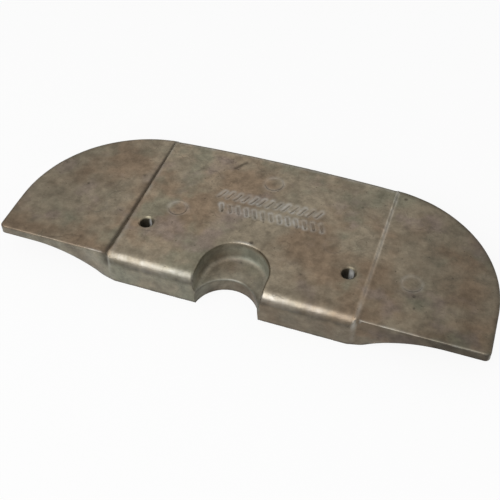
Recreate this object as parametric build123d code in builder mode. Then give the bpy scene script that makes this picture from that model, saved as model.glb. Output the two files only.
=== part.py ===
"""Sacrificial anode: one casting, a thick centre block with a thin rounded wing on each side.

The casting lies on the flat seat under its block. +X runs along the straight front edge, +Y towards
the rounded back edge and +Z up, out of the open face. The origin is on the seat, midway between the
two screw holes. Lengths are millimetres and angles are degrees.
"""

from build123d import *
import os

# Wings, seen from above
overall_length = 240.0  # from tip to tip
wing_end_length = 24.5  # straight end of a wing, from its front edge to the big round
wing_back_step = 1.4  # how far a wing's back starts behind the block's back corner
tip_corner_radius = 2.5  # corner between the front edge and the wing's end

# Wings, seen from the front
wing_top_height = 17.0  # top face above the seat
wing_tip_thickness = 4.9
sweep_radius = 62.0  # hollow sweep from the thin wing down to the seat
sweep_foot_reach = 3.4  # from the block's side to where the sweep meets the seat
sweep_foot_radius = 8.0  # round between the sweep and the seat
wing_rim_radius = 0.6  # worn edge all round the wings' top face
root_overlap = 7.0  # how far a wing's root runs into the block
root_back_cover = 1.0  # metal of the block behind that root

# Centre block
block_width = 123.5
block_front_reach = 2.2  # how far the block stands ahead of the wings
block_depth = 90.8  # from the block's front face to the middle of its back
block_back_bow = 2.0  # how far the back's middle stands out past its ends
block_corner_radius = 4.5  # upright front corners
front_round_radius = 6.5  # large round along the top of the front face
back_round_radius = 2.5  # round along the top of the back face
pad_height = 2.0  # block's top face above the wings
pad_side_run_front = 3.4  # width of the pad's sloping side at the front
pad_side_run_back = 1.5  # and at the back
pad_crest_radius = 1.2  # round along the top of the sloping side
seat_edge_radius = 0.8  # edge of the seat, front and back

# Screw holes
hole_spacing = 102.0
hole_setback = 24.0  # from the wings' front edge
hole_radius = 3.25  # clears a 6 mm or 1/4 in screw
hole_mouth_radius = 3.9

# Stepped notch in the middle of the front
recess_radius = 16.6  # wall of the recess, at its top
recess_centre_setback = 8.9  # centre of its half round, behind the wings' front edge
recess_floor_height = 8.4  # floor above the seat
recess_draft = 1.5  # lean of the recess wall
recess_foot_radius = 2.6  # round between wall and floor
recess_rim_radius = 1.5
relief_radius = 15.9  # half round through the floor, at the seat
relief_centre_reach = 4.7  # its centre, ahead of the wings' front edge
relief_draft = 3.0
relief_lip_radius = 0.8

# Ejector pin marks, left and right alike
pin_mark_radius = 4.6
pin_mark_depth = 0.3
block_pin_offset = 40.0  # from the middle, along X
block_pin_setback = 38.0  # from the wings' front edge
back_pin_setback = 70.0
wing_pin_offset = 80.0
wing_pin_setback = 28.5

# Places that follow from the sizes above
half_length = overall_length / 2
half_block = block_width / 2
block_top_height = wing_top_height + pad_height
wing_front = -hole_setback
block_front = wing_front - block_front_reach
block_back = block_front + block_depth
block_side_back = block_back - block_back_bow
round_start_y = wing_front + wing_end_length
wing_back = block_side_back + wing_back_step
wing_span = half_length - half_block
# The one radius that leaves the wing's end straight on and reaches the wing's back at the block
wing_round_radius = (wing_span**2 + (wing_back - round_start_y) ** 2) / (2 * wing_span)
wing_underside = wing_top_height - wing_tip_thickness
sweep_foot_x = half_block + sweep_foot_reach
sweep_centre_z = wing_underside - sweep_radius
sweep_end_x = sweep_foot_x + (sweep_radius**2 - sweep_centre_z**2) ** 0.5
root_x = half_block - root_overlap
root_back = block_side_back - root_back_cover
recess_centre_y = wing_front + recess_centre_setback
relief_centre_y = wing_front - relief_centre_reach
block_pin_y = wing_front + block_pin_setback
back_pin_y = wing_front + back_pin_setback
wing_pin_y = wing_front + wing_pin_setback
cut_overrun = 10.0  # how far cutting shapes run past the metal
height_band = 0.01  # how closely an edge's height is matched when it is picked
rim_margin = 0.5  # how far past the recess's wall its rim is looked for

# One wing: its outline from above, cut to its section from the front. Its root runs into the block.
with BuildPart() as wing:
    with BuildSketch(Plane.XY):
        with BuildLine():
            front_edge = Line((root_x, wing_front), (half_length, wing_front))
            wing_end = Line(front_edge @ 1, (half_length, round_start_y))
            big_round = RadiusArc(wing_end @ 1, (half_block, wing_back), -wing_round_radius)
            shoulder = Line(big_round @ 1, (root_x, root_back))
            Line(shoulder @ 1, front_edge @ 0)
        make_face()
        tip_corner = vertices().sort_by_distance((half_length, wing_front))[0]
        fillet(tip_corner, tip_corner_radius)
    extrude(amount=wing_top_height)
    with BuildSketch(Plane.XZ):
        with BuildLine():
            seat = Line((root_x, 0), (sweep_foot_x, 0))
            sweep = RadiusArc(seat @ 1, (sweep_end_x, wing_underside), sweep_radius)
            thin_plate = Line(sweep @ 1, (half_length, wing_underside))
            Polyline(
                thin_plate @ 1,
                (half_length, wing_top_height),
                (root_x, wing_top_height),
                seat @ 0,
            )
        make_face()
        sweep_foot = vertices().sort_by_distance((sweep_foot_x, 0))[0]
        fillet(sweep_foot, sweep_foot_radius)
    extrude(amount=block_depth + cut_overrun, both=True, mode=Mode.INTERSECT)

# The centre block: a bar with a rounded front and a gently bowed back, whose top stands up as a pad
with BuildPart() as block:
    with BuildSketch(Plane.YZ):
        with BuildLine():
            Polyline(
                (block_back, block_top_height),
                (block_back, 0),
                (block_front, 0),
                (block_front, block_top_height),
                close=True,
            )
        make_face()
        fillet(vertices().sort_by_distance((block_front, block_top_height))[0], front_round_radius)
    extrude(amount=half_block, both=True)
    with BuildSketch(Plane.XY):
        with BuildLine():
            front_edge = Line((-half_block, block_front), (half_block, block_front))
            right_side = Line(front_edge @ 1, (half_block, block_side_back))
            bowed_back = ThreePointArc(
                right_side @ 1, (0, block_back), (-half_block, block_side_back)
            )
            Line(bowed_back @ 1, front_edge @ 0)
        make_face()
        fillet(vertices().group_by(Axis.Y)[0], block_corner_radius)
    extrude(amount=block_top_height, mode=Mode.INTERSECT)
    bowed_edges = edges().filter_by(GeomType.CIRCLE).group_by(Axis.Y)[-1]
    fillet(bowed_edges.sort_by(Axis.Z)[-1], back_round_radius)
    seat_edges = edges().group_by(Axis.Z)[0]
    fillet(seat_edges.filter_by(lambda edge: edge.length > block_width / 2), seat_edge_radius)

# What stands above the wings has sloping sides, wider at the front
with BuildPart() as pad_sides:
    for height, run_front, run_back in (
        (wing_top_height, 0, 0),
        (block_top_height, pad_side_run_front, pad_side_run_back),
    ):
        with BuildSketch(Plane.XY.offset(height)):
            with BuildLine():
                Polyline(
                    (half_block - run_front, block_front - cut_overrun),
                    (half_block - run_back, block_back + cut_overrun),
                    (run_back - half_block, block_back + cut_overrun),
                    (run_front - half_block, block_front - cut_overrun),
                    close=True,
                )
            make_face()
    loft(ruled=True)
    with BuildSketch(Plane.XY):
        Rectangle(block_width, 2 * (block_depth + cut_overrun))
    extrude(amount=wing_top_height)

# The recess, as the shape that is cut away: it narrows downwards and its foot is rounded
with BuildPart() as recess:
    with BuildSketch(Plane.XY.offset(block_top_height)):
        mouth_length = recess_centre_y - block_front + cut_overrun
        with Locations((0, recess_centre_y)):
            Circle(recess_radius)
            Rectangle(2 * recess_radius, mouth_length, align=(Align.CENTER, Align.MAX))
    extrude(amount=recess_floor_height - block_top_height, taper=recess_draft)
    foot_edges = faces().sort_by(Axis.Z)[0].edges()
    fillet(foot_edges, recess_foot_radius)

# The half round through the recess's floor, drafted to open downwards
with BuildPart() as relief:
    with BuildSketch(Plane.XY):
        with Locations((0, relief_centre_y)):
            Circle(relief_radius)
    extrude(amount=recess_floor_height + recess_foot_radius, taper=relief_draft)

with BuildPart() as anode_casting:
    # The block with its raised pad, whose sloping sides are rounded along their top
    add(block.part)
    add(pad_sides.part, mode=Mode.INTERSECT)
    pad_crests = edges().group_by(Axis.Z)[-1].filter_by(lambda edge: edge.length < block_depth)
    fillet(pad_crests, pad_crest_radius)

    # The wings, with the worn edge round each one's top face
    add(wing.part)
    add(mirror(wing.part, about=Plane.YZ, mode=Mode.PRIVATE))
    wing_rims = (
        edges()
        .filter_by_position(Axis.Z, wing_top_height - height_band, wing_top_height + height_band)
        .filter_by(lambda edge: abs(edge.center().X) > half_block)
    )
    fillet(wing_rims, wing_rim_radius)

    # The stepped notch: recess, its rounded rim, the half round through its floor, and that lip
    add(recess.part, mode=Mode.SUBTRACT)
    recess_rim = (
        edges()
        .group_by(Axis.Z)[-1]
        .filter_by(lambda edge: abs(edge.center().X) < recess_radius + rim_margin)
        .filter_by(lambda edge: edge.center().Y > block_front + front_round_radius)
        .filter_by(lambda edge: edge.center().Y < recess_centre_y + recess_radius)
    )
    fillet(recess_rim, recess_rim_radius)
    add(relief.part, mode=Mode.SUBTRACT)
    floor_arcs = (
        edges()
        .filter_by(GeomType.CIRCLE)
        .filter_by_position(
            Axis.Z, recess_floor_height - height_band, recess_floor_height + height_band
        )
    )
    fillet(floor_arcs.sort_by(Axis.Y)[0], relief_lip_radius)

    # Screw holes, each with a small flared mouth
    with Locations(Plane.XY.offset(block_top_height)):
        with GridLocations(hole_spacing, 0, 2, 1):
            CounterSinkHole(hole_radius, hole_mouth_radius)

    # Ejector pin marks: shallow round sinks, three on the block and one on each wing
    with BuildSketch(Plane.XY.offset(block_top_height)):
        with Locations(
            (-block_pin_offset, block_pin_y), (block_pin_offset, block_pin_y), (0, back_pin_y)
        ):
            Circle(pin_mark_radius)
    extrude(amount=-pin_mark_depth, mode=Mode.SUBTRACT)
    with BuildSketch(Plane.XY.offset(wing_top_height)):
        with Locations((-wing_pin_offset, wing_pin_y), (wing_pin_offset, wing_pin_y)):
            Circle(pin_mark_radius)
    extrude(amount=-pin_mark_depth, mode=Mode.SUBTRACT)

anode_casting.part.label = "anode_casting"

os.makedirs("parts", exist_ok=True)
export_step(anode_casting.part, "parts/anode_casting.step")
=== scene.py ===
"""Cast sacrificial anode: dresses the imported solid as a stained, die-cast plate on a pale floor.

Laid out as an add-on and run as a script. Lengths in the property groups are metres; the shape
functions work in millimetres, in the frame's own axes: +X along the straight front edge, +Y to the
rounded back edge, +Z out of the open face, origin on the seat midway between the screw holes.
"""

from functools import partial
from math import acos, asin, cos, pi, radians, sin, sqrt, tan
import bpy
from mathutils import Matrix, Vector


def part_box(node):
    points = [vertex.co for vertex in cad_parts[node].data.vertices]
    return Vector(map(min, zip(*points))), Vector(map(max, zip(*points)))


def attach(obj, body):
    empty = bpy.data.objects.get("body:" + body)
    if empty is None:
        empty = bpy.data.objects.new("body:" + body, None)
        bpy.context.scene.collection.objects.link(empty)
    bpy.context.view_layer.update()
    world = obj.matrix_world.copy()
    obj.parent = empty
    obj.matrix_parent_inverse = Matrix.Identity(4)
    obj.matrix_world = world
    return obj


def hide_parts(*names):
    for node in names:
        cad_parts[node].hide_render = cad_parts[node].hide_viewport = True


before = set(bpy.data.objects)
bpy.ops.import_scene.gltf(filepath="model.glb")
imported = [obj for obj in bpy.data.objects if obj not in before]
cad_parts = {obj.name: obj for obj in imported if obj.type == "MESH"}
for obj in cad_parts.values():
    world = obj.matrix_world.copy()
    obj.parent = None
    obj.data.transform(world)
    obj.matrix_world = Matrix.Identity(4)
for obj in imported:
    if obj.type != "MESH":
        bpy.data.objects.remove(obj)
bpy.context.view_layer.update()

from types import SimpleNamespace

import bpy
import numpy as np
from bpy.props import FloatProperty, FloatVectorProperty, PointerProperty
from mathutils import Matrix, Vector
from mathutils.geometry import delaunay_2d_cdt

bl_info = {
    "name": "Cast anode",
    "version": (1, 0, 0),
    "blender": (4, 5, 0),
    "location": "View3D > Sidebar > Anode",
    "description": "Builds a stained cast anode plate and the stage that it is shown on",
    "category": "Object",
}

CASTING_NODE = "anode_casting"
MM = 1000.0


# ---- colours and nodes


def linear(code):
    """An sRGB hex colour as the linear red, green, blue and alpha that a socket takes."""
    raw = [int(code[i : i + 2], 16) / 255 for i in (1, 3, 5)]
    return [c / 12.92 if c <= 0.04045 else ((c + 0.055) / 1.055) ** 2.4 for c in raw] + [1.0]


def add_node(tree, kind, *inputs, **named):
    """Adds one node and gives the first of its outputs that is in use.

    inputs, in order, and named ones with a capital are constants or other nodes' outputs. Names in
    lower case are the node's own settings.
    """
    node = tree.nodes.new("ShaderNode" + kind)
    settings = {name: value for name, value in named.items() if name.islower()}
    for name, value in settings.items():
        setattr(node, name, value)
    pairs = list(zip([socket for socket in node.inputs if socket.enabled], inputs))
    pairs += [(node.inputs[name.replace("_", " ")], named[name]) for name in named if name not in settings]
    for socket, value in pairs:
        if isinstance(value, bpy.types.NodeSocket):
            tree.links.new(value, socket)
        else:
            socket.default_value = value
    return next((socket for socket in node.outputs if socket.enabled), None)


def emptied(block):
    """Turns on a new material's or world's nodes, and gives their tree without any."""
    block.use_nodes = True
    block.node_tree.nodes.clear()
    return block.node_tree


# ---- sizes


def length(name, text, mm):
    """A length property, given in millimetres."""
    return FloatProperty(name=name, description=text, default=mm / MM, min=0.0, unit="LENGTH", precision=5)


class AnodeCastingSizes(bpy.types.PropertyGroup):
    """Sizes of the casting's skin. The overall sizes come from the frame."""

    wing_end: length("Wing end", "Straight end of a wing", 24.5)
    wing_round: length("Wing round", "Big round from a wing's end to its back", 63.75)
    tip_round: length("Tip round", "Front corner of a wing, seen from above", 2.5)
    wing_top: length("Wing top", "Height of the wings' top face", 17.0)
    wing_thickness: length("Wing thickness", "At the thin end", 4.9)
    wing_rim: length("Wing rim", "Round along a wing's top edge, at its root", 0.6)
    tip_rim: length("Tip rim", "The same round, worn wider at the tip", 1.2)
    sweep_radius: length("Sweep radius", "Hollow sweep under a wing", 62.0)
    sweep_foot: length("Sweep foot", "Round between the seat and the sweep", 8.0)
    sweep_reach: length("Sweep reach", "From the block's side to the sweep's foot", 3.4)
    block_width: length("Block width", "Thick middle of the casting", 123.5)
    block_bow: length("Back bow", "How far the middle of the block's back stands out", 2.0)
    block_corner: length("Block corner", "Upright front corners of the block", 4.5)
    front_reach: length("Front reach", "How far the block stands ahead of the wings", 2.2)
    front_round: length("Front round", "Large round along the top of the front face", 6.5)
    back_round: length("Back round", "Round along the top of the back", 2.5)
    seat_edge: length("Seat edge", "Round along the seat, front and back", 0.8)
    side_run_front: length("Side run, front", "Width of the pad's sloping side at the front", 3.4)
    side_run_back: length("Side run, back", "Width of the pad's sloping side at the back", 1.5)
    cove_blend: length("Cove blend", "Softness along the foot of the sloping side", 0.7)
    web_length: length("Web length", "How far a front corner runs out along the wing, at the seat", 7.5)
    root_overlap: length("Root overlap", "How far a wing's root runs into the block", 7.0)
    wing_step: length("Wing step", "How far a wing's back starts behind the block's corner", 1.4)
    root_cover: length("Root cover", "Metal of the block behind a wing's root", 1.0)
    hole_spacing: length("Hole spacing", "Between the screw holes", 102.0)
    hole_radius: length("Hole radius", "Screw hole", 3.25)
    mouth_radius: length("Mouth radius", "Flared mouth of a screw hole", 3.9)
    recess_radius: length("Recess radius", "Wall of the recess at its top", 16.6)
    recess_setback: length("Recess setback", "Its centre, behind the wings' front edge", 8.9)
    recess_floor: length("Recess floor", "Height of its floor", 8.4)
    recess_foot: length("Recess foot", "Round between wall and floor", 2.6)
    recess_rim: length("Recess rim", "Round along its top edge", 1.5)
    relief_radius: length("Relief radius", "Half round through the floor, at the seat", 15.9)
    relief_reach: length("Relief reach", "Its centre, ahead of the wings' front edge", 4.7)
    relief_lip: length("Relief lip", "Round along its top edge", 0.8)
    pin_radius: length("Pin mark radius", "Round sink left by an ejector pin", 4.6)
    pin_depth: length("Pin mark depth", "Depth of that sink", 0.3)
    stroke_length: length("Stroke length", "Strokes of the plain sunk pattern", 4.4)
    stroke_width: length("Stroke width", "Width of a stroke", 1.1)
    stroke_depth: length("Stroke depth", "How deep a stroke is sunk", 0.34)
    mesh_step: length("Mesh step", "Spacing of the mesh on the open face", 0.95)
    seat_step: length("Seat mesh step", "Spacing of the mesh underneath", 2.0)
    waviness: length("Waviness", "Slow unevenness of the cast skin", 0.16)
    orange_peel: length("Orange peel", "Fine unevenness of the cast skin", 0.05)


RECESS_DRAFT = radians(1.5)
RELIEF_DRAFT = radians(3.0)
# Fall of the face into a screw hole's flared mouth, in millimetres like the lengths below
MOUTH_DROP = 0.75
# x, y and strength of the ejector pins' marks: some pins sat nearly flush
PIN_MARKS = ((-40.0, 14.0, 1.0), (40.0, 14.0, 0.4), (0.0, 46.0, 1.0), (-80.0, 4.5, 0.4), (80.0, 4.5, 0.8))
# Middle line of each row of the pattern, and which way its strokes lean
PATTERN_ROWS = (((-22.5, 30.9), (27.8, 31.9), 1), ((-19.5, 21.6), (31.5, 23.4), -1))
STROKES_IN_ROW = 13
STROKE_LEAN = radians(24)
# x, y, radius and depth of the pits and dents in the cast face
PITS = (
    (82.3, -2.3, 0.75, 0.35), (83.7, -9.1, 0.6, 0.22), (65.8, 59.0, 0.8, 0.35), (2.4, 3.6, 0.9, 0.35),
    (-92.0, 18.0, 0.7, 0.2), (-31.0, 38.0, 0.6, 0.18), (47.0, 44.0, 0.7, 0.2), (-66.8, 33.0, 1.0, 0.2),
    (97.0, 14.0, 0.6, 0.2), (30.5, -8.0, 0.7, 0.16), (-85.0, 47.0, 1.3, 0.12), (8.0, 12.5, 1.4, 0.1),
)
# Both ends of the scratch
SCRATCH = (-23.2, 51.2, -19.0, 57.4)
SCRATCH_DEPTH = 0.2
# A point whose normal rises more than this belongs to the open face
OPEN_UP = 0.15


def casting_sizes(props):
    """Every size in millimetres, with the places that follow from them and from the solid's box."""
    s = SimpleNamespace(**{name: getattr(props, name) * MM for name in AnodeCastingSizes.__annotations__})
    low, high = (np.array(corner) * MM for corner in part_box(CASTING_NODE))
    s.half = (high[0] - low[0]) / 2
    s.front, s.back, s.top = low[1], high[1], high[2]
    s.wing_front = s.front + s.front_reach
    s.half_block = s.block_width / 2
    s.round_x, s.round_y = s.half - s.wing_round, s.wing_front + s.wing_end
    s.wing_back = s.back - s.block_bow + s.wing_step
    s.root_x, s.root_back = s.half_block - s.root_overlap, s.back - s.block_bow - s.root_cover
    s.bow_radius = (s.half_block**2 + s.block_bow**2) / (2 * s.block_bow)
    s.recess_y = s.wing_front + s.recess_setback
    s.relief_y = s.wing_front - s.relief_reach
    lean = tan(RECESS_DRAFT)
    s.wall_foot_z = s.recess_floor + s.recess_foot
    wall_at_foot = s.recess_radius - (s.top - s.wall_foot_z) * lean
    s.foot_centre = wall_at_foot - s.recess_foot / cos(RECESS_DRAFT)
    s.wall_low = s.foot_centre + s.recess_foot * cos(RECESS_DRAFT)
    s.wall_low_z = s.wall_foot_z - s.recess_foot * sin(RECESS_DRAFT)
    s.wall_high = s.recess_radius - s.recess_rim * lean
    s.lip_z = s.recess_floor - s.relief_lip
    s.lip_radius = s.relief_radius - s.lip_z * tan(RELIEF_DRAFT)
    s.sweep_z = s.wing_top - s.wing_thickness - s.sweep_radius
    s.sweep_x = s.half_block + s.sweep_reach + sqrt(s.sweep_radius**2 - s.sweep_z**2)
    reach = s.sweep_radius + s.sweep_foot
    s.fillet_x = s.sweep_x - sqrt(reach**2 - (s.sweep_foot - s.sweep_z) ** 2)
    s.sweep_low = s.sweep_x - (s.sweep_x - s.fillet_x) * s.sweep_radius / reach
    return s


# ---- shape of the casting


def rounded_drop(inset, radius):
    """Fall of a quarter-round edge at a distance inside its outline: r less the root of r2 - (r - d)2."""
    left = radius - np.clip(inset, 0, radius)
    return radius - np.sqrt(np.maximum(radius**2 - left**2, 0))


def rise(distance, width=1):
    """0 at distance 0, 1 at width and 3t2 - 2t3 between, where t is the part of the way."""
    t = np.clip(distance / width, 0, 1)
    return t * t * (3 - 2 * t)


def bell(distance, width):
    """1 at distance 0, falling to either side as exp(-(d / width)2)."""
    return np.exp(-((distance / width) ** 2))


def inside_corner(inset, radius, past_x, past_y):
    """inset, but past both ends of a round corner the distance inside its arc instead."""
    return np.where((past_x > 0) & (past_y > 0), radius - np.hypot(past_x, past_y), inset)


def bowed_back(s, x):
    """The block's back edge: a shallow arc through its middle and both corners, level beyond them."""
    x = np.minimum(np.abs(x), s.half_block)
    return s.back - s.bow_radius + np.sqrt(s.bow_radius**2 - x**2)


def shoulder(s, x):
    """The straight back edge of a wing's root: a line from the wing's back into the block."""
    return s.wing_back + (np.abs(x) - s.half_block) * (s.wing_back - s.root_back) / s.root_overlap


def wing_inset(s, x, y):
    """Distance inside a wing's outline: the least of those to its front, end, tip and big round."""
    x = np.abs(x)
    inset = np.minimum(y - s.wing_front, s.half - x)
    tip_x, tip_y = x - (s.half - s.tip_round), (s.wing_front + s.tip_round) - y
    inset = inside_corner(inset, s.tip_round, tip_x, tip_y)
    far = s.wing_round - np.hypot(x - s.round_x, y - s.round_y)
    return np.where(y > s.round_y, np.minimum(inset, far), inset)


def side_run(s, y):
    """Width of the pad's sloping side, which narrows evenly from front to back."""
    along = (y - s.front) / (s.back - s.front)
    return s.side_run_front + (s.side_run_back - s.side_run_front) * along


def notch_radius(s, x, y):
    """Distance from the recess's middle line: across it in the mouth, and from its centre behind."""
    return np.where(y < s.recess_y, np.abs(x), np.hypot(x, y - s.recess_y))


def recess_height(s, rho):
    """Floor, quarter round and leaning wall of the recess, by distance from its middle line."""
    across = np.clip(rho - s.foot_centre, 0, s.recess_foot * cos(RECESS_DRAFT))
    foot = s.wall_foot_z - np.sqrt(s.recess_foot**2 - across**2)
    wall = s.wall_low_z + (rho - s.wall_low) / tan(RECESS_DRAFT)
    return np.where(rho > s.wall_low, wall, foot)


def rim_radius(s, x, y):
    """Round of a wing's top edge: it grows from the block to the tip, along the front edge only."""
    along = rise(np.abs(x) - s.half_block, s.half - s.half_block)
    return s.wing_rim + (s.tip_rim - s.wing_rim) * along * rise(s.round_y - y, s.wing_end)


def segment_distance(x, y, ends):
    """Distance to the nearest of a set of straight strokes, each given by its two ends."""
    least = np.full(np.shape(x), 99.0)
    for ax, ay, bx, by in ends:
        length2 = (bx - ax) ** 2 + (by - ay) ** 2
        part = np.clip(((x - ax) * (bx - ax) + (y - ay) * (by - ay)) / length2, 0, 1)
        least = np.minimum(least, np.hypot(x - ax - part * (bx - ax), y - ay - part * (by - ay)))
    return least


def pattern_strokes(s):
    """Ends of the strokes of two plain rows, which lean opposite ways like a herringbone."""
    ends = []
    for (start_x, start_y), (stop_x, stop_y), lean in PATTERN_ROWS:
        half_x = lean * sin(STROKE_LEAN) * s.stroke_length / 2
        half_y = cos(STROKE_LEAN) * s.stroke_length / 2
        for part in np.arange(STROKES_IN_ROW) / (STROKES_IN_ROW - 1):
            x, y = start_x + part * (stop_x - start_x), start_y + part * (stop_y - start_y)
            ends.append((x - half_x, y - half_y, x + half_x, y + half_y))
    return ends


def hollow_marks(x, y):
    """Depth of the pits, the shallow dents and the scratch at (x, y): a bell curve around each."""
    depth = np.zeros(np.shape(x))
    for px, py, radius, deep in PITS:
        depth = depth + deep * bell(np.hypot(x - px, y - py), radius)
    return depth + SCRATCH_DEPTH * bell(segment_distance(x, y, [SCRATCH]), 0.95)


def pin_marks(x, y):
    """Each pin mark's distance from (x, y) and its strength."""
    return [(np.hypot(x - px, y - py), strength) for px, py, strength in PIN_MARKS]


def open_face(s, x, y):
    """Height of the open face over (x, y), in millimetres.

    Over a wing it is the flat top, less a quarter round at the outline. Over the block it is the
    lowest of the pad, the large front round and the back round. The pad is flat, and along its sides
    it falls by its height over the wings times the square of the way across the sloping side. The
    recess, the lip of the relief, the screw holes, the pattern and the marks are taken from that.
    """
    wing = s.wing_top - rounded_drop(wing_inset(s, x, y), rim_radius(s, x, y))
    beyond = np.maximum(1 - (s.half_block - np.abs(x)) / side_run(s, y), 0)
    pad = s.top - (s.top - s.wing_top) * beyond**2
    nose = s.top - rounded_drop(y - s.front, s.front_round)
    tail = s.top - rounded_drop(bowed_back(s, x) - y, s.back_round)
    block = np.minimum(np.minimum(pad, nose), tail)
    rooted = (np.abs(x) > s.root_x) & (y > s.wing_front) & (y < shoulder(s, x) + 1e-6)
    block = np.where(rooted, np.maximum(block, s.wing_top), block)
    height = np.where(np.abs(x) > s.half_block, wing, block)
    # Cove along the foot of the pad's sides, where the pad comes near the wing's height
    beside = rise(y - s.wing_front + 0.7) * rise(s.wing_back - 1 - y, 2)
    near = np.maximum(s.cove_blend - np.abs(pad - s.wing_top), 0)
    height = height + beside * near**2 / (4 * s.cove_blend)

    rho = notch_radius(s, x, y)
    height = height - np.where(rho < s.wall_high, 0, rounded_drop(rho - s.wall_high, s.recess_rim))
    floor = recess_height(s, rho)
    floor = floor - rounded_drop(np.hypot(x, y - s.relief_y) - s.lip_radius, s.relief_lip)
    height = np.where(rho < s.wall_high + 1e-6, np.minimum(height, floor), height)

    hole = np.hypot(np.abs(x) - s.hole_spacing / 2, y)
    flare = s.mouth_radius - s.hole_radius
    height = height - MOUTH_DROP * rise(s.mouth_radius + 0.2 - hole, flare + 0.2)
    for away, strength in pin_marks(x, y):
        height = height - s.pin_depth * strength * rise(s.pin_radius + 0.3 - away, 0.6)
    stroke = segment_distance(x, y, pattern_strokes(s))
    height = height - s.stroke_depth * rise(s.stroke_width / 2 + 0.15 - stroke, 0.4)
    return height - hollow_marks(x, y)


def seat_face(s, x, y):
    """Height of the underside over (x, y): the flat seat, a round, the hollow sweep and the thin wing.

    The seat's small edge round follows the outline, and dies out where the sweep begins.
    """
    x = np.abs(x)
    fillet = s.sweep_foot - np.sqrt(np.maximum(s.sweep_foot**2 - np.clip(x - s.fillet_x, 0, 99) ** 2, 0))
    sweep = s.sweep_z + np.sqrt(s.sweep_radius**2 - np.clip(s.sweep_x - x, 0, s.sweep_radius) ** 2)
    height = np.where(x < s.sweep_low, fillet, sweep)
    back = bowed_back(s, x)
    back = np.where(x > s.root_x, np.maximum(back, shoulder(s, x)), back)
    past = s.wing_round - np.hypot(x - s.round_x, y - s.round_y)
    edge = np.minimum(y - web_front(s, x), np.where(x > s.half_block, past, back - y))
    return height + rounded_drop(edge, s.seat_edge) * (1 - rise(x - s.half_block, s.web_length))


def plan_points(x, y):
    """Points of the plan. Either of x and y may be one number."""
    return np.stack(np.broadcast_arrays(x, y), 1)


def both_sides(x, y):
    """The same row of points on the left and on the right."""
    return [plan_points(sign * x, y) for sign in (-1, 1)]


def arc(cx, cy, radius, start, stop, count):
    """Points on a circle, evenly spaced from one angle to another."""
    angle = np.linspace(start, stop, count)
    return plan_points(cx + radius * np.cos(angle), cy + radius * np.sin(angle))


def stretch(p, q, step):
    """Points on a straight line, about step apart."""
    count = int(np.ceil(np.hypot(q[0] - p[0], q[1] - p[1]) / step)) + 1
    return np.linspace(p, q, count)


def wall_rings(s):
    """Distances from the notch's middle line at which its skin is sampled: foot, wall and rim."""
    turn = np.radians([0, 14, 28, 42, 55, 67, 78])
    foot = s.foot_centre + s.recess_foot * np.sin(turn)
    wall = np.linspace(s.wall_low, s.wall_high, 4)
    rim = s.wall_high + s.recess_rim * (1 - np.cos(np.radians([22, 42, 60, 76, 90])))
    return np.concatenate([foot, wall, rim])


def outline(s, step, relief_radius):
    """The casting's plan outline, anticlockwise from the middle of the relief.

    Right half: relief arc, the block's front, its corner, the wing's front, tip, end and big round,
    the shoulder and the bowed back. The left half is that mirrored.
    """
    ahead = s.front - s.relief_y
    relief = arc(0, s.relief_y, relief_radius, pi / 2, asin(ahead / relief_radius), 42)
    corner_x = s.half_block - s.block_corner
    mouth = np.sqrt(s.lip_radius**2 - ahead**2)
    walls = wall_rings(s)
    straight = stretch((s.recess_radius + 1.6, 0), (corner_x, 0), step)[:, 0]
    x = np.concatenate([walls[walls > mouth + 0.05], straight])
    # The relief's draft moves the end of its arc, and the front's first 4 mm take that up
    shift = sqrt(relief_radius**2 - ahead**2) - mouth
    front = plan_points(x + shift * np.clip(1 - (x - mouth) / 4, 0, 1), s.front)
    turn_y = s.front + s.block_corner
    stop = asin((s.wing_front - turn_y) / s.block_corner)
    corner = arc(corner_x, turn_y, s.block_corner, -pi / 2, stop, 9)
    tip_x, tip_y = s.half - s.tip_round, s.wing_front + s.tip_round
    tip = arc(tip_x, tip_y, s.tip_round, -pi / 2, 0, 7)
    end = stretch((s.half, tip_y), (s.half, s.round_y), step)
    turn = acos((s.half_block - s.round_x) / s.wing_round)
    big = arc(s.round_x, s.round_y, s.wing_round, 0, turn, int(turn * s.wing_round / step))
    fine = np.linspace(s.half_block, s.root_x, 400)
    meet = fine[np.argmax(shoulder(s, fine) < bowed_back(s, fine))]
    ledge_x = np.linspace(s.half_block, meet, 5)
    ledge = plan_points(ledge_x, shoulder(s, ledge_x))
    back_x = stretch((meet, 0), (0, 0), step)[:, 0]
    back = plan_points(back_x, bowed_back(s, back_x))
    wing = stretch(corner[-1], (tip_x, s.wing_front), step)
    half = np.concatenate([
        relief, front, corner[1:], wing[1:-1], tip, end[1:-1], big, ledge[1:], back[1:],
    ])
    left = half[-2:0:-1] * (-1, 1)
    return np.concatenate([half, left])


def web_front(s, x):
    """Front edge of the seat: past each corner a smooth S runs from the block's front to the wing's."""
    part = rise(np.abs(x) - s.half_block + s.block_corner, s.block_corner + s.web_length)
    return s.front + (s.wing_front - s.front) * part


def corner_web(s, loop):
    """The seat's outline, with the block's front corners run out into the wings' front."""
    x, y = loop.T
    near = (np.abs(x) > s.half_block - s.block_corner) & (y < s.wing_front + 1e-6)
    return plan_points(x, np.where(near, np.minimum(web_front(s, x), y), y))


def inward(loop, inset):
    """A closed outline moved inside by inset: each point along the mean normal of its two sides."""
    ahead, behind = np.roll(loop, -1, 0) - loop, loop - np.roll(loop, 1, 0)
    sides = [side / np.linalg.norm(side, axis=1, keepdims=True) for side in (ahead, behind)]
    along = sides[0] + sides[1]
    along /= np.linalg.norm(along, axis=1, keepdims=True)
    return loop + inset * plan_points(-along[:, 1], along[:, 0])


def rings(cx, cy, radii, count):
    """Concentric circles of points, clockwise."""
    return np.concatenate([arc(cx, cy, r, 0, -2 * pi, count + 1)[:-1] for r in radii])


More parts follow.
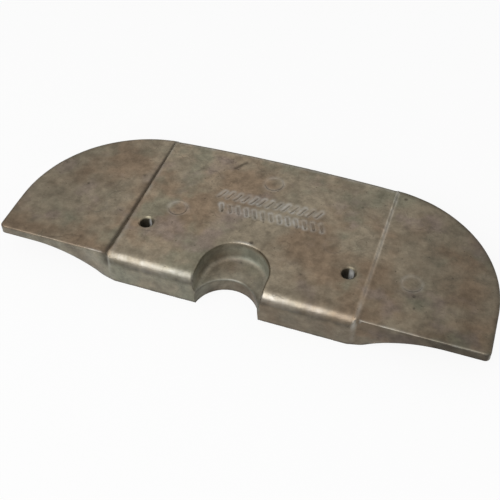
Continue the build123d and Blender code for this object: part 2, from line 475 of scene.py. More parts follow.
def face_lines(s, loop):
    """Points of the open face that its bends need: rows along each round, slope, ring and rim."""
    x, y = loop.T
    on_wing = np.abs(x) > s.half_block - 0.2
    lines = [inward(loop, d)[on_wing] for d in (0.07, 0.18, 0.34, 0.6, 1.2)]
    # The back round, the front round and the pad's sloping sides
    back_x = np.linspace(-s.half_block, s.half_block, 104)
    for d in s.back_round * (1 - np.cos(np.radians([25, 45, 62, 77, 90]))):
        lines.append(plan_points(back_x, bowed_back(s, back_x) - d))
    nose_y = s.front + s.front_round * (1 - np.cos(np.radians(np.linspace(9, 90, 10))))
    edge_x = x[(y < s.front + 1e-6) & (np.abs(x) > s.wall_high)]
    slope_x = s.half_block - s.side_run_front * np.array([0.2, 0.4, 0.6, 0.8])
    nose_x = np.concatenate([edge_x, [-s.half_block, s.half_block], slope_x, -slope_x])
    lines += [plan_points(nose_x, row) for row in nose_y]
    side_y = np.concatenate([nose_y, np.arange(nose_y[-1] + 0.8, s.back, 0.8)])
    for part in (-0.25, 0.0, 0.25, 0.5, 0.7, 0.85, 1.0, 1.15, 1.4):
        lines += both_sides(s.half_block - part * side_run(s, side_y), side_y)
    # The recess: an arc behind and straight rows in its mouth, then the relief's lip
    mouth_y = np.concatenate([[s.front], nose_y, np.arange(nose_y[-1] + 0.7, s.recess_y - 0.3, 0.7)])
    for rho in wall_rings(s):
        lines += [arc(0, s.recess_y, rho, pi, 0, 72)] + both_sides(rho, mouth_y)
    for d in s.relief_lip * (1 - np.cos(np.radians([25, 45, 65, 90]))):
        lines.append(arc(0, s.relief_y, s.lip_radius + d, pi, 0, 84))
    # The screw holes' mouths, the pin marks, the strokes and the pits
    mouth = s.mouth_radius + np.array([-0.45, -0.25, 0, 0.25, 0.7])
    lines += [rings(side * s.hole_spacing / 2, 0, mouth, 40) for side in (-1, 1)]
    pin = s.pin_radius + np.array([-0.7, -0.3, -0.1, 0.1, 0.3, 0.7])
    lines += [rings(px, py, pin, 44) for px, py, _ in PIN_MARKS]
    for ax, ay, bx, by in pattern_strokes(s) + [SCRATCH]:
        long = np.hypot(bx - ax, by - ay)
        along = np.linspace(-0.14, 1.14, int(long / 0.4) + 4)[:, None]
        line = (ax, ay) + along * (bx - ax, by - ay)
        side = np.array([ay - by, bx - ax]) / long
        lines += [line + offset * side for offset in (-0.95, -0.7, -0.5, -0.3, 0, 0.3, 0.5, 0.7, 0.95)]
    for px, py, radius, _ in PITS:
        lines.append(rings(px, py, radius * np.array([0.05, 0.4, 0.75, 1.1, 1.6]), 14))
    return np.concatenate(lines)


def seat_lines(s, loop):
    """Points of the underside that its bends need: rows along the seat's edges, the foot and the sweep."""
    foot, sweep = np.linspace(s.fillet_x, s.sweep_low, 6), np.arange(s.sweep_low + 1.6, s.sweep_x, 1.6)
    row_y = np.arange(s.wing_front, s.back, s.seat_step)
    lines = []
    for bend in np.concatenate([foot, sweep, [s.sweep_x]]):
        lines += both_sides(bend, row_y)
    row_x = np.arange(-s.half_block, s.half_block, s.seat_step / 2)
    beside = np.abs(np.abs(loop[:, 0]) - s.half_block) < s.web_length + 2
    for d in (0.1, 0.25, 0.45, 0.8):
        lines += [plan_points(row_x, s.front + d), plan_points(row_x, bowed_back(s, row_x) - d)]
        lines.append(inward(loop, d)[beside])
    return np.concatenate(lines)


def within(s, x, y, relief_radius, margin, web=False):
    """True for points at least margin inside the metal, from above. web takes in the corner webs."""
    ax = np.abs(x)
    block = np.minimum(np.minimum(y - s.front, bowed_back(s, x) - y), s.half_block - ax)
    turn_x, turn_y = ax - (s.half_block - s.block_corner), s.front + s.block_corner - y
    block = inside_corner(block, s.block_corner, turn_x, turn_y)
    root = np.minimum(shoulder(s, x) - y, ax - s.root_x)
    wing = np.where(ax > s.half_block, wing_inset(s, x, y), np.minimum(root, y - s.wing_front))
    inside = np.maximum(block, wing) > margin
    if web:
        inside |= (y - web_front(s, x) > margin) & (ax < s.half - s.tip_round) & (y < s.wing_front + 1)
    holes = np.hypot(ax - s.hole_spacing / 2, y) > s.hole_radius + margin
    return inside & holes & (np.hypot(x, y - s.relief_y) > relief_radius + margin)


def spread(s, lines, step, relief_radius):
    """Fills the plan with a staggered grid, leaving out what lies too close to the given points."""
    cell = step / 4
    origin = np.array([-s.half - step, s.front - step])
    shape = tuple(((np.array([s.half + step, s.back + step]) - origin) / cell).astype(int) + 2)
    taken = np.zeros(shape, bool)
    taken[tuple(((lines - origin) / cell).astype(int).T)] = True
    for _ in range(2):
        grown = taken.copy()
        for axis in (0, 1):
            grown |= np.roll(taken, 1, axis) | np.roll(taken, -1, axis)
        taken = grown
    rows = np.arange(s.front + step / 2, s.back, step * 0.866)
    across = np.arange(-s.half, s.half, step)
    grid_x = across[None, :] + (np.arange(len(rows)) % 2)[:, None] * step / 2
    grid = np.stack([grid_x, np.broadcast_to(rows[:, None], grid_x.shape)], -1).reshape(-1, 2)
    grid = grid[within(s, *grid.T, relief_radius, step * 0.4)]
    return grid[~taken[tuple(((grid - origin) / cell).astype(int).T)]]


def thin_out(points, cell):
    """One point for each small cell of the plan, the first that falls in it."""
    _, first = np.unique(np.round(points / cell).astype(np.int64), axis=0, return_index=True)
    return points[np.sort(first)]


def plan_triangles(s, loops, inner, relief_radius, web):
    """Joins plan points into triangles that keep to the loops' edges. Gives points and corner numbers."""
    points = np.concatenate(loops + [inner])
    edges, start = [], 0
    for loop in loops:
        number = np.arange(start, start + len(loop))
        edges += np.stack([number, np.roll(number, -1)], 1).tolist()
        start += len(loop)
    result = delaunay_2d_cdt([Vector(p) for p in points.tolist()], edges, [], 0, 1e-6)
    source = np.array([origin[0] if origin else -1 for origin in result[3]])
    if (source < 0).any():
        raise RuntimeError("the plan's edges cross each other")
    corners = source[np.array([list(face) for face in result[2]])]
    a, b, c = (points[corners[:, i]] for i in range(3))
    turn = (b[:, 0] - a[:, 0]) * (c[:, 1] - a[:, 1]) - (b[:, 1] - a[:, 1]) * (c[:, 0] - a[:, 0])
    corners[turn < 0] = corners[turn < 0][:, ::-1]
    middle = (a + b + c) / 3
    return points, corners[within(s, *middle.T, relief_radius, -1e-4, web)]


def wall_between(low, high, low_start, high_start, first, count):
    """A strip of count bands from one closed loop of points up to another with as many points.

    Each point goes up the straight line between its two ends. Gives the new points and the quads.
    """
    size = len(low)
    part = np.linspace(0, 1, count + 1)[1:-1, None, None]
    between = (low + part * (high - low)).reshape(-1, 3)
    numbers = np.concatenate([
        low_start + np.arange(size)[None], first + np.arange(len(between)).reshape(-1, size),
        high_start + np.arange(size)[None],
    ])
    after = np.roll(numbers, -1, 1)
    quads = np.stack([numbers[:-1], after[:-1], after[1:], numbers[1:]], -1)
    return between, quads.reshape(-1, 4)


def lattice_noise(points, cell, seed):
    """Smooth noise from -1 to 1: random numbers at the corners of cubes, blended with 3t2 - 2t3."""
    where = points / cell
    where = where - where.min(0) + 1
    base = where.astype(int)
    part = where - base
    part = part * part * (3 - 2 * part)
    lattice = np.random.default_rng(seed).uniform(-1, 1, tuple(base.max(0) + 2))
    total = np.zeros(len(points))
    for corner in np.ndindex(2, 2, 2):
        weight = np.prod(np.where(np.array(corner) == 1, part, 1 - part), axis=1)
        total += weight * lattice[tuple((base + corner).T)]
    return total


def point_normals(points, triangles):
    """Mean of the faces' normals at each point, by their area."""
    a, b, c = (points[triangles[:, i]] for i in range(3))
    face = np.cross(b - a, c - a)
    corners, size = triangles.ravel(), len(points)
    normal = np.stack([np.bincount(corners, np.repeat(part, 3), size) for part in face.T], 1)
    return normal / np.maximum(np.linalg.norm(normal, axis=1, keepdims=True), 1e-12)


def casting_surface(s):
    """The whole skin as points, triangles and quads: open face, underside and the walls between."""
    middle = s.hole_spacing / 2
    hole_loops = [arc(x, 0, s.hole_radius, 0, -2 * pi, 41)[:-1] for x in (-middle, middle)]
    sheets = []
    for height, lines_of, step, relief, grain, web in (
        (open_face, face_lines, s.mesh_step, s.lip_radius, 0.045, False),
        (seat_face, seat_lines, s.seat_step, s.relief_radius, 0.09, True),
    ):
        edge = outline(s, s.mesh_step, relief)
        loops = [corner_web(s, edge) if web else edge] + hole_loops
        lines = lines_of(s, loops[0])
        lines = thin_out(lines[within(s, *lines.T, relief, 0.04)], grain)
        fill = spread(s, np.concatenate(loops + [lines]), step, relief)
        plan, triangles = plan_triangles(s, loops, np.concatenate([lines, fill]), relief, web)
        sheets.append((np.column_stack([plan, height(s, *plan.T)]), triangles))
    (face, face_tris), (seat, seat_tris) = sheets
    points, quads = [face, seat], []
    loop_start, start = 0, len(face) + len(seat)
    for loop, bands in zip(loops, (9, 12, 12)):
        here = slice(loop_start, loop_start + len(loop))
        between, strip = wall_between(
            seat[here], face[here], len(face) + loop_start, loop_start, start, bands
        )
        points.append(between)
        quads.append(strip)
        start += len(between)
        loop_start += len(loop)
    triangles = np.concatenate([face_tris, seat_tris[:, ::-1] + len(face)])
    return np.concatenate(points), triangles, np.concatenate(quads)


def cast_skin(s, points):
    """How deep the cast surface dips below the true form at each point: slow waves and orange peel."""
    slow = 0.6 * lattice_noise(points, 17.0, 3) + 0.4 * lattice_noise(points, 8.0, 5)
    fine = 0.6 * lattice_noise(points, 3.2, 7) + 0.4 * lattice_noise(points, 1.7, 9)
    return s.waviness * (0.5 + 0.5 * slow) + s.orange_peel * (0.5 + 0.5 * fine)


def make_mesh(name, points, triangles, quads):
    """A mesh from whole arrays of points in millimetres, triangles and quads."""
    mesh = bpy.data.meshes.new(name)
    mesh.vertices.add(len(points))
    mesh.vertices.foreach_set("co", (points / MM).astype(np.float32).ravel())
    loops = np.concatenate([triangles.ravel(), quads.ravel()]).astype(np.int32)
    mesh.loops.add(len(loops))
    mesh.loops.foreach_set("vertex_index", loops)
    sizes = np.concatenate([np.full(len(triangles), 3), np.full(len(quads), 4)])
    mesh.polygons.add(len(sizes))
    mesh.polygons.foreach_set("loop_start", np.concatenate([[0], np.cumsum(sizes)[:-1]]).astype(np.int32))
    mesh.polygons.foreach_set("use_smooth", np.ones(len(sizes), bool))
    mesh.update(calc_edges=True)
    mesh.validate()
    return mesh


def wear_and_painted_highlights(s, points, up):
    """Painted highlights and rubbed wear, in patches: the greatest of the marks on each edge."""
    x, y, z = points.T
    left, ax, rho = x < 0, np.abs(x), notch_radius(s, x, y)
    # Painted highlight along each wing's front edge, brightest next to the block
    out = ax - s.half_block
    ahead = np.where(left, np.maximum(bell(out - 5.25, 6), 0.22), 1 - 0.65 * rise(out - 4.25, 30))
    ahead = ahead * rise(out - left, 1.5) * bell(y - s.wing_front - 0.3, 0.55)
    ahead = ahead * (out > -0.3) * (z > s.wing_top - 1.6) * 0.85
    # Painted highlights on the crest of the pad's left side and the foot of its right side
    run = side_run(s, y)
    side = (s.half_block - ax) / run
    crest = bell(side - 1, 0.4) * (z > s.wing_top + 0.5) * left * 0.3
    slope = bell((side - 0.28) * run, 0.8) * (x > 0) * (z > s.wing_top - 0.2)
    slope = slope * (0.3 + 0.4 * rise(y, 40))
    # Painted highlights on the back of the recess's rim and on the relief's lip
    rim = bell(rho - s.wall_high - 0.9, 0.6) * bell(x + 1, 4.5)
    rim = rim * (y > s.recess_y) * (z > s.top - 3) * 0.85
    lip = bell(np.hypot(x, y - s.relief_y) - s.lip_radius - 0.15, 0.4)
    lip = lip * (0.3 * (x < 2) + 0.7 * bell(x - 0.5, 4)) * (np.abs(z - s.recess_floor) < 1.4)
    # Painted highlight along the front round, broken by streaks that run over it, and the back round
    streaks = 0.9 + 0.45 * lattice_noise(points * (1, 0.12, 0.12), 0.7, 19)
    streaks = np.clip(streaks + 0.3 * lattice_noise(points, 9, 23), 0, 1)
    nose = bell(y - s.front - 1.7, 1.5) * streaks * (z > s.top - s.front_round)
    nose = nose * rise(s.half_block - 1.5 - ax, 3) * rise(x + s.half_block - 1.5, 2)
    nose = nose * np.where(left, 0.74 + 0.2 * bell(x + 22, 13), 0.42 + 0.34 * bell(x - 19, 9))
    tail = bell(bowed_back(s, x) - y - s.back_round, 0.8) * (ax < s.half_block - 2) * 0.5
    # Rings of the pin marks, and rims of the pattern's strokes
    rounds = [bell(away - s.pin_radius - 0.1, 1) * strength**2 for away, strength in pin_marks(x, y)]
    ring = np.maximum.reduce(rounds) * (z > s.wing_top - 0.6) * 0.38
    stroke = bell(segment_distance(x, y, pattern_strokes(s)) - s.stroke_width / 2 - 0.4, 0.8) * 0.8
    worn = np.maximum.reduce([ahead, crest, slope, rim, lip, nose, tail, ring, stroke]) * (up > OPEN_UP)
    # Painted highlights down the block's upright front corners
    corner = np.where(left, bell(x + s.half_block - 2.3, 0.9) * 0.6, bell(x - s.half_block + 1.3, 1))
    corner = corner * (y < s.wing_front - 0.3) * (0.15 + 0.85 * rise(z - 9, 6))
    patches = 0.62 + 0.38 * lattice_noise(points, 4.5, 11) + 0.25 * lattice_noise(points, 1.9, 13)
    return np.maximum(worn, corner) * np.clip(patches, 0, 1)


def ledge_shade(s, x, y, z, up):
    """Painted shade on the right wing's front face, more of it upwards and towards the tip."""
    there = (up < 0.4) & (x > s.half_block) & (y < s.wing_front + 0.5)
    return there * (0.5 * rise(z - 5, 6) + 0.4 * rise(x - s.half_block - 13.25, 25))


def dirt_and_painted_shade(s, points, up):
    """Dirt in pits and strokes, and painted shade: the greatest of the marks on each foot, edge, pit and
    wall.
    """
    x, y, z = points.T
    left, ax, rho = x < 0, np.abs(x), notch_radius(s, x, y)
    # Painted shade along the foot of the pad's left side, wider in front, and the front end of its right
    # side
    wide = 0.8 + 0.9 * rise(s.wing_front + 7 - y, 7)
    right_foot = bell(x - s.half_block - 0.5, 0.8) * rise(s.wing_front + 9 - y, 6) * 0.6
    foot = np.maximum(bell(x + s.half_block + 0.3, wide) * 0.9, right_foot) * (z > s.wing_top - 0.6)
    # Each wing's end and big round
    edge = bell(wing_inset(s, x, y) - 0.1, np.where(left, 0.8, 1.4)) * np.where(left, 0.5, 0.9)
    edge = edge * rise(z - s.wing_top + 4, 2) * (ax > s.half_block) * (y > s.wing_front + 3)
    # Painted shade in the notch: on the right side of its lip, the left foot and rim of its wall, and the
    # relief
    centre = np.hypot(x, y - s.relief_y)
    lip = bell(centre - s.lip_radius - 0.4, 0.9) * rise(x - 3, 4) * 0.6
    lip = lip * (np.abs(z - s.recess_floor) < 1.6)
    groove = bell(rho - s.wall_low, 1.1) * left * 0.2
    groove = groove * (z < s.recess_floor + 4) * (z > s.recess_floor - 0.5)
    rim = bell(rho - s.wall_high - 0.2, 1.6) * rise(-x - 6, 6) * 0.2
    rim = rim * (rho > s.wall_high - 3) * (z > s.recess_floor + 1)
    relief = (centre < s.relief_radius + 0.2) * (z < s.lip_z + 0.3) * 0.58
    # Painted shade along the seat, and in the corner between the left wing and the block
    seat = bell(z, 1.7) * (up < 0.6) * rise(up + 0.9, 0.5)
    corner = bell(np.hypot(x + s.half_block - 0.3, y - s.wing_front), 2.8)
    corner = corner * rise(z - 6, 7) * rise(2.2 - s.half_block - x, 1.2)
    # Painted shade and reflection on the block's front: a dark band under its round, the face itself, and a
    # band behind the round
    brow = bell(z - s.top + s.front_round - 1.2, 1.7) * rise(0.6 - up, 0.3) * 0.85
    brow = brow * rise(s.half_block - 1.6 - ax, 1.5) * (y < s.front + 2) * (rho > s.recess_radius)
    front = bell(y - s.front, 1.5) * (up < 0.3) * np.where(left, 0.15, 0.34)
    behind = bell(y - s.front - 5.8, 2.7) * np.where(left, 0.12, 0.42) * (x + s.half_block > 3)
    behind = behind * rise(ax - s.recess_radius - 1.5, 2) * rise(s.half_block - 2 - ax, 2)
    # Middles of the pin marks, pits, and the bottoms of the strokes
    stroke = rise(s.stroke_width / 2 - segment_distance(x, y, pattern_strokes(s)), 0.4) * 0.3
    pits = [bell(away, 0.9) * 0.5 * strength for away, strength in pin_marks(x, y)]
    pits = np.maximum.reduce(pits + [rise(hollow_marks(x, y), 0.25) * 0.8, stroke])
    hollow = np.maximum.reduce([
        foot, edge, lip, groove, rim, relief, seat, corner, brow, front, ledge_shade(s, x, y, z, up),
        behind * (up > OPEN_UP), pits * (up > OPEN_UP),
    ])
    return hollow * np.clip(0.85 + 0.3 * lattice_noise(points, 3.1, 17), 0, 1)


def screw_bores(s, x, y, z):
    """1 in the screw holes, and a painted light strip up the back of each wall."""
    hole_x = x - np.sign(x) * s.hole_spacing / 2
    bore = rise(s.hole_radius + 0.3 - np.hypot(hole_x, y), 0.3)
    turn = np.degrees(np.arctan2(y, hole_x))
    start, stop = np.where(x < 0, 58, 38), np.where(x < 0, 94, 97)
    brightened = rise(turn - start, 16) * rise(stop - turn, 12) * bore
    return bore, brightened * rise(z - 3, 5) * rise(s.top - 1 - z, 2)


def finish_masks(s, points, normals):
    """The finish's masks from 0 to 1, by name. Lengths in them are millimetres on the casting.

    worn is rubbed metal and painted highlights, and hollow is dirt and painted shade. bloom is oxide,
    which grows as a face turns away from straight up and fills the recess, and tint is its grey-green.
    bore_light_strip is a painted light strip in each screw hole.
    """
    x, y, z = points.T
    up = normals[:, 2]
    bore, brightened = screw_bores(s, x, y, z)
    # Painted shade deeper down each screw hole, lighter near its mouth
    deep = bore * (1 - brightened) * (0.3 + 0.5 * rise(s.top - 0.8 - z, 3))
    upright = rise(0.4 - up, 0.35)
    recess = (notch_radius(s, x, y) < s.wall_high) & (z < s.top - 1.5) & (z > s.recess_floor - 1)
    bloom = np.maximum(upright * 0.4, recess * (1 - 0.3 * rise(up - 0.6, 0.3)))
    wall = (0.4 + 0.45 * rise(0.85 - up, 0.25)) * (1 - 0.75 * rise(-x - 4, 9))
    outer = upright * (ledge_shade(s, x, y, z, up) < 0.1)
    outer = outer * np.where(x < -s.half_block, 0.5, np.where(x < 0, 0.35, 0.2))
    tint = np.where(recess, wall, outer) * np.clip(0.8 + 0.5 * lattice_noise(points, 5.5, 29), 0, 1)
    return {
        "worn": np.maximum(wear_and_painted_highlights(s, points, up) * (1 - bore), brightened),
        "hollow": np.maximum(dirt_and_painted_shade(s, points, up) * (1 - bore), deep),
        "bloom": bloom * (1 - bore),
        "tint": tint * (1 - bore),
        "bore_light_strip": brightened,
    }


# ---- finish of the casting


def stain(name, text, code):
    """A colour property, given as sRGB hex."""
    return FloatVectorProperty(
        name=name, description=text, subtype="COLOR", size=4, min=0, max=1, default=linear(code)
    )


class AnodeFinish(bpy.types.PropertyGroup):
    """Colours and sheen of the stained cast skin."""

    skin: stain("Skin", "Oxide-dulled cast aluminium", "#7F7564")
    brown_stain: stain("Brown stain", "Release-agent and oil stain", "#776755")
    green_stain: stain("Green stain", "Thin grey-green oxide", "#706D5D")
    violet_stain: stain("Violet stain", "Heat tint left by the die", "#796C63")
    # Grime is also the colour of the painted shade in corners, along the seat and on the front faces
    grime_and_shade: stain("Grime", "Dirt held in corners and pits", "#3E372E")
    # Rubbed edge is also the colour of the painted highlights on edges, rims and the front round
    bright: stain("Rubbed edge", "Metal where handling has rubbed an edge", "#ABA9A3")
    wall_tint: stain("Wall tint", "Grey-green bloom on the steep faces", "#84877A")
    # Clean metal is the colour of the painted light strip in each screw hole
    strip_light_colour: stain("Clean metal", "Where a screw has rubbed its hole", "#E6E6E3")
    roughness: FloatProperty(
        name="Roughness", description="Sheen of the cast skin", default=0.36, min=0, max=1, subtype="FACTOR"
    )


def per_mm(size):
    """Scale of a pattern whose features are size millimetres apart, on Object coordinates in metres."""
    return MM / size


def stained_cast_aluminium(finish, mask_names):
    """Die-cast aluminium alloy, as it leaves the die and after a spell on a shelf.

    The skin is a dull satin metal. It is covered by thin brown, grey-green and violet stains in soft
    patches a few centimetres across, freckled every few millimetres, with dirt in pits and painted
    shade in corners, along the seat and on the front faces. It is rubbed brighter along some edges and
    carries painted highlights on others.
    """
    material = bpy.data.materials.new("stained_cast_aluminium")
    node = partial(add_node, emptied(material))
    place = node("TexCoord").node.outputs["Object"]
    eased = {"interpolation_type": "SMOOTHSTEP"}
    mask = {name: node("Attribute", attribute_name=name).node.outputs["Fac"] for name in mask_names}

    def unevenness(size, detail, offset, rough=0.55):
        """From 0 to 1, with humps size millimetres apart. offset keeps any two from matching."""
        shifted = node("Mapping", place, (offset, offset * 0.7, offset * 1.3))
        return node("TexNoise", shifted, per_mm(size), detail, rough)

    def patches(size, detail, offset, low, high, bottom=0.0, top=1.0, rough=0.55):
        """Soft patches: bottom where the unevenness is below low, top where it is above high."""
        return node("MapRange", unevenness(size, detail, offset, rough), low, high, bottom, top, **eased)

    # Stains, each a soft patch a few centimetres across
    colour = tuple(finish.skin)
    for part, over in (
        (patches(34, 3, 0.11, 0.40, 0.62), finish.brown_stain),
        (patches(27, 3, 0.37, 0.50, 0.66, 0, 0.8), finish.green_stain),
        (patches(21, 3, 0.53, 0.54, 0.70, 0, 0.7), finish.violet_stain),
        (mask["tint"], finish.wall_tint),
    ):
        colour = node("Mix", part, colour, tuple(over), data_type="RGBA")

    # Flow lines, where the metal's fronts met: thin curved lines along one level of a slow unevenness
    level = node("Math", unevenness(15, 4, 0.33, 0.5), 0.5, operation="SUBTRACT")
    flow = node("MapRange", node("Math", level, operation="ABSOLUTE"), 0.004, 0.016, 1.0, 0.0, **eased)
    flow = node("Math", flow, patches(19, 2, 0.77, 0.45, 0.6), operation="MULTIPLY")

    # Light and dark: clouds, freckles and grains, painted shade that darkens towards the wing tips and
    # towards +X, and the darker flow lines
    along = node("SeparateXYZ", place)
    tone = patches(11, 5, 0.71, 0.3, 0.7, 0.86, 1.14, rough=0.6)
    for share in (
        patches(4.4, 5, 0.93, 0.28, 0.72, 0.80, 1.20, rough=0.65),
        patches(1.1, 2, 0.57, 0.3, 0.7, 0.95, 1.05),
        node("MapRange", node("Math", along, operation="ABSOLUTE"), 55 / MM, 100 / MM, 1.12, 0.84, **eased),
        node("MapRange", along, -60 / MM, 100 / MM, 1.06, 0.86, **eased),
        node("Math", flow, -0.14, 1.0, operation="MULTIPLY_ADD"),
    ):
        tone = node("Math", tone, share, operation="MULTIPLY")
    grey = node("CombineColor", tone, tone, tone)
    colour = node("Mix", 1.0, colour, grey, data_type="RGBA", blend_type="MULTIPLY")

    # Dirt and painted shade lie over the stains; rubbed edges, painted highlights and the painted light
    # strips in the screw holes lie over both
    pits = patches(1.5, 2, 0.21, 0.68, 0.76, 0, 0.55)
    held = patches(5, 3, 0.61, 0.25, 0.75, 0.75, 1.0)
    darkening = node("Math", node("Math", mask["hollow"], held, operation="MULTIPLY"), pits, operation="MAXIMUM")
    brightened = patches(7, 4, 0.81, 0.35, 0.6, 0.45, 1.0)
    brightened = node("Math", mask["worn"], brightened, operation="MULTIPLY")
    for part, over in (
        (darkening, finish.grime_and_shade), (brightened, finish.bright), (mask["bore_light_strip"], finish.strip_light_colour)
    ):
        colour = node("Mix", part, colour, tuple(over), data_type="RGBA")

    # Dirt, painted shade and oxide take the sheen down
    sheen = patches(6, 4, 0.47, 0.3, 0.7, finish.roughness - 0.06, finish.roughness + 0.08)
    for part, share in ((darkening, 0.3), (mask["bloom"], 0.14)):
        sheen = node("Math", part, share, sheen, operation="MULTIPLY_ADD")
    # The fine relief of the skin, with the pits and flow lines sunk in it
    relief = 0.0
    for part, share in (
        (unevenness(2.6, 5, 0.29, 0.65), 0.75), (unevenness(0.8, 2, 0.67), 0.25), (pits, -0.8), (flow, -0.5)
    ):
        relief = node("Math", part, share, relief, operation="MULTIPLY_ADD")
    bump = node("Bump", Height=relief, Strength=0.7, Distance=0.14 / MM)
    # Oxide is no metal, and dirt and painted shade take half as much metal off. The painted light strips
    # in the holes are drawn nearly matt, to be bright all round
    half = node("Math", mask["hollow"], 0.5, operation="MULTIPLY")
    dull = node("Math", mask["bloom"], half, operation="MAXIMUM")
    metal = node("MapRange", dull, 0.0, 1.0, 0.88, 0.4, **eased)
    clean = node("Math", mask["bore_light_strip"], -0.9, 1.0, operation="MULTIPLY_ADD")
    metallic = node("Math", metal, clean, operation="MULTIPLY")
    skin = node("BsdfPrincipled", Base_Color=colour, Roughness=sheen, Normal=bump, Metallic=metallic)
    node("OutputMaterial", skin)
    return material


class OBJECT_OT_cast_anode(bpy.types.Operator):
    """Builds the casting's skin over its solid, with its uneven cast surface, its stained finish and its
    painted shade and highlights
    """

    bl_idname = "object.cast_anode"
    bl_label = "Cast anode"

    def execute(self, context):
        s = casting_sizes(context.scene.anode_casting)
        points, triangles, quads = casting_surface(s)
        joined = np.concatenate([triangles, quads[:, [0, 1, 2]], quads[:, [0, 2, 3]]])
        normals = point_normals(points, joined)
        masks = finish_masks(s, points, normals)
        points = points - normals * cast_skin(s, points)[:, None]
        low, high = (np.array(corner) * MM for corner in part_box(CASTING_NODE))
        mesh = make_mesh("cast_anode", np.clip(points, low, high), triangles, quads)
        for name, values in masks.items():
            mesh.attributes.new(name, "FLOAT", "POINT").data.foreach_set("value", values.astype(np.float32))
        mesh.materials.append(stained_cast_aluminium(context.scene.anode_finish, masks))
        casting = bpy.data.objects.new("cast_anode", mesh)
        context.scene.collection.objects.link(casting)
        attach(casting, "root")
        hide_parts(CASTING_NODE)
        return {"FINISHED"}


# ---- stage


def brightness(name, text, value):
    """A brightness property, as a share of white."""
    return FloatProperty(name=name, description=text, default=value, min=0)


class AnodeStage(bpy.types.PropertyGroup):
    """Light of the stage."""

    softbox: brightness("Softbox", "Brightness of the front softbox against a white wall", 2.9)
    back_softbox: brightness("Back softbox", "Brightness of the one behind, on the right", 0.6)
    fill: brightness("Fill", "Brightness of the room", 0.55)
    wall_height: length("Dark wall", "Height of the dark cloth round the table", 480)


# Place in metres, then yaw, pitch and roll
CAMERA_PLACE = Vector((0.09069, -0.24188, 0.29638))
CAMERA_TURN = (radians(19.93), radians(47.32), radians(-0.72))
LENS_MM = 57.43
WHITE = (1, 1, 1, 1)


def camera_matrix():
    """Looks along yaw to the left of +Y and pitch downwards, then rolls about that line."""
    yaw, pitch, roll = CAMERA_TURN
    ahead = Vector((-sin(yaw) * cos(pitch), cos(yaw) * cos(pitch), -sin(pitch)))
    right = Vector((cos(yaw), sin(yaw), 0))
    up = right.cross(ahead)
    right, up = right * cos(roll) + up * sin(roll), up * cos(roll) - right * sin(roll)
    return Matrix.Translation(CAMERA_PLACE) @ Matrix((right, up, -ahead)).transposed().to_4x4()


def light_path(tree):
    """1 for rays from the camera, mirrors and glass, 0 for the rays that light things."""
    rays = add_node(tree, "LightPath").node.outputs
    seen = rays["Is Camera Ray"]
    for name in ("Is Glossy Ray", "Is Transmission Ray"):
        seen = add_node(tree, "Math", seen, rays[name], operation="MAXIMUM")
    return seen


def white_card(share):
    """Plain white card. Seen directly it is mostly an even white, and share of it still takes shadows."""
    material = bpy.data.materials.new("white_card")
    node = partial(add_node, emptied(material))
    even = node("Math", light_path(material.node_tree), 1 - share, operation="MULTIPLY")
    card = node("BsdfDiffuse", Color=linear("#F2F2F2"))
    glow = node("Emission", Color=WHITE, Strength=1.0)
    node("OutputMaterial", node("MixShader", even, card, glow))
    return material


def dark_cloth():
    """Dull black-brown woven cloth. It is only seen mirrored, so it has no weave."""
    material = bpy.data.materials.new("dark_cloth")
    node = partial(add_node, emptied(material))
    node("OutputMaterial", node("BsdfDiffuse", Color=linear("#38352F")))
    return material


def stage_piece(name, points, faces, material):
    """Adds a piece of the stage from its points and faces."""
    mesh = bpy.data.meshes.new(name)
    mesh.from_pydata(points, [], faces)
    mesh.materials.append(material)
    piece = bpy.data.objects.new(name, mesh)
    bpy.context.scene.collection.objects.link(piece)
    return piece


def add_softbox(name, direction, distance, size, level):
    """A square lamp that faces the casting. Its power gives a brightness of level against white's 1."""
    lamp = bpy.data.lights.new(name, "AREA")
    lamp.shape, lamp.size = "SQUARE", size
    lamp.energy = level * pi * size**2
    away = Vector(direction).normalized()
    turned = away.to_track_quat("Z", "Y").to_matrix().to_4x4()
    softbox = bpy.data.objects.new(name, lamp)
    softbox.matrix_world = Matrix.Translation(away * distance) @ turned
    bpy.context.scene.collection.objects.link(softbox)


def dark_wall(radius, height):
    """Dark cloth round the table that steep metal faces mirror, open at the right.

    It stands on a circle outside the lights, and is hidden from the camera.
    """
    count = 96
    ring = arc(0, 0, radius, radians(75), radians(345), count)
    points = np.concatenate([np.column_stack([ring, np.full(count, z)]) for z in (0.0, height)])
    number, after = np.arange(count - 1), np.arange(1, count)
    quads = np.column_stack([number, after, after + count, number + count])
    stage_piece("dark_wall", points.tolist(), quads.tolist(), dark_cloth()).visible_camera = False


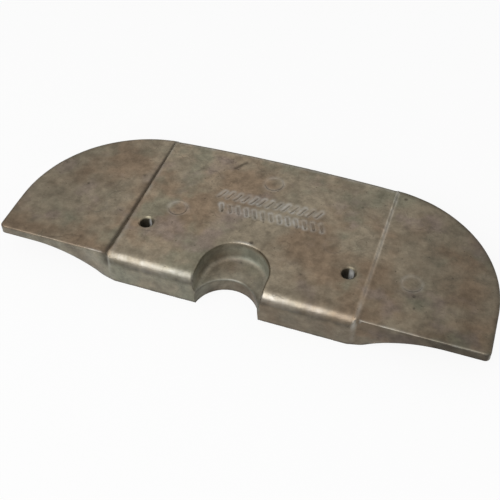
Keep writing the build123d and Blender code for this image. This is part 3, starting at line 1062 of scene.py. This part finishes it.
class SCENE_OT_anode_stage(bpy.types.Operator):
    """Puts the casting on a white card, with two softboxes, a dark wall, a pale room and a camera"""

    bl_idname = "scene.anode_stage"
    bl_label = "Anode stage"

    def execute(self, context):
        scene, stage = context.scene, context.scene.anode_stage
        reach = 3.0
        corners = [(-reach, -reach, 0), (reach, -reach, 0), (reach, reach, 0), (-reach, reach, 0)]
        stage_piece("floor", corners, [(0, 1, 2, 3)], white_card(share=0.1))
        dark_wall(radius=1.2, height=stage.wall_height)
        for name, direction, distance, size, level in (
            ("front_softbox", (-0.25, -0.76, 0.60), 0.95, 0.8, stage.softbox),
            ("back_softbox", (0.62, 0.60, 0.42), 1.05, 0.5, stage.back_softbox),
        ):
            add_softbox(name, direction, distance, size, level)

        scene.world = bpy.data.worlds.new("room")
        node = partial(add_node, emptied(scene.world))
        strength = node("MapRange", light_path(scene.world.node_tree), To_Min=stage.fill, To_Max=1.0)
        node("OutputWorld", node("Background", Color=WHITE, Strength=strength))

        camera = bpy.data.objects.new("camera", bpy.data.cameras.new("camera"))
        camera.data.lens = LENS_MM
        camera.data.clip_start = 0.01
        camera.matrix_world = camera_matrix()
        scene.collection.objects.link(camera)
        scene.camera = camera
        scene.view_settings.view_transform = "Standard"
        return {"FINISHED"}


class VIEW3D_PT_anode(bpy.types.Panel):
    """Lists the casting's and the stage's tools"""

    bl_label = "Cast anode"
    bl_space_type = "VIEW_3D"
    bl_region_type = "UI"
    bl_category = "Anode"

    def draw(self, context):
        layout = self.layout
        for group, operator in (
            (context.scene.anode_casting, "object.cast_anode"),
            (context.scene.anode_finish, None),
            (context.scene.anode_stage, "scene.anode_stage"),
        ):
            box = layout.box()
            for name in group.__annotations__:
                box.prop(group, name)
            if operator:
                box.operator(operator)


CLASSES = (
    AnodeCastingSizes, AnodeFinish, AnodeStage, OBJECT_OT_cast_anode, SCENE_OT_anode_stage, VIEW3D_PT_anode,
)
GROUPS = {"anode_casting": AnodeCastingSizes, "anode_finish": AnodeFinish, "anode_stage": AnodeStage}


def register():
    for cls in CLASSES:
        bpy.utils.register_class(cls)
    for name, group in GROUPS.items():
        setattr(bpy.types.Scene, name, PointerProperty(type=group))


def unregister():
    for name in GROUPS:
        delattr(bpy.types.Scene, name)
    for cls in reversed(CLASSES):
        bpy.utils.unregister_class(cls)


def main():
    register()
    bpy.ops.object.cast_anode()
    bpy.ops.scene.anode_stage()


if __name__ == "__main__":
    main()
